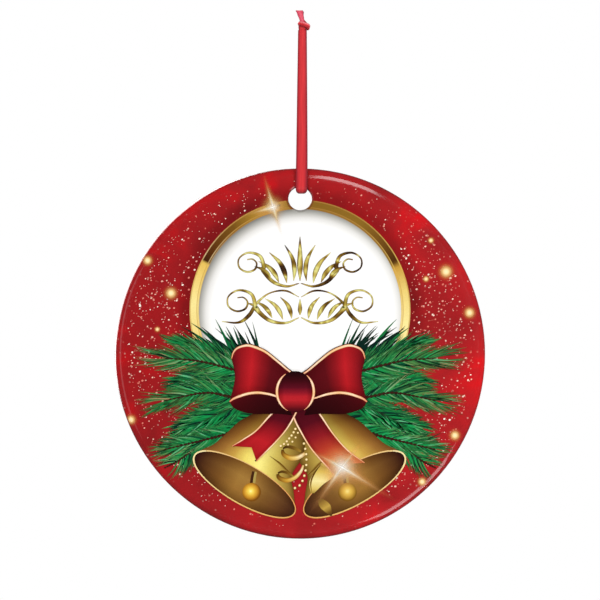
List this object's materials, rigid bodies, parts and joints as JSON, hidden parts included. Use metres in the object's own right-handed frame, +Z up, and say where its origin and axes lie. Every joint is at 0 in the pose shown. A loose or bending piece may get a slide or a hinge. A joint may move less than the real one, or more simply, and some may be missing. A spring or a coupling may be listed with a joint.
{
  "type": "souvenir christmas ornament",
  "caption": "Round printed ceramic hanging ornament, glossy, with a bow, bells and fir print, on a knotted narrow satin ribbon loop.",
  "frame": {"origin": "hanging point: the underside of the knot, at the top of the ribbon loop, straight above the disc's centre", "axes": "+Z up, along the hanging ribbon; the printed face looks towards -Y; +X to the right of a person who faces the print"},
  "size_m": [0.076, 0.0042, 0.1084],
  "materials": {
    "ceramic_body": "fired white earthenware, matt under the glaze",
    "printed_glaze": "glossy clear coat over a dye print",
    "white_glaze": "glossy white glaze",
    "satin_ribbon": "woven satin, soft sheen"
  },
  "bodies": {
    "knot": {"ribbon_knot": "satin_ribbon", "ribbon_tail_front": "satin_ribbon", "ribbon_tail_back": "satin_ribbon"},
    "ribbon": {"ribbon_loop": "satin_ribbon"},
    "disc": {"ceramic_disc": "ceramic_body", "front_print_glaze": "printed_glaze", "back_glaze": "white_glaze"}
  },
  "joints": [
    {"name": "ribbon_twist", "type": "hinge", "parent": "knot", "child": "ribbon", "pos_m": [0, 0, 0], "axis": [0, 0, 1], "range_deg": [-90, 90]},
    {"name": "disc_swing", "type": "hinge", "parent": "ribbon", "child": "disc", "pos_m": [0, 0, -0.0346], "axis": [0, 1, 0], "range_deg": [-45, 45]}
  ]
}
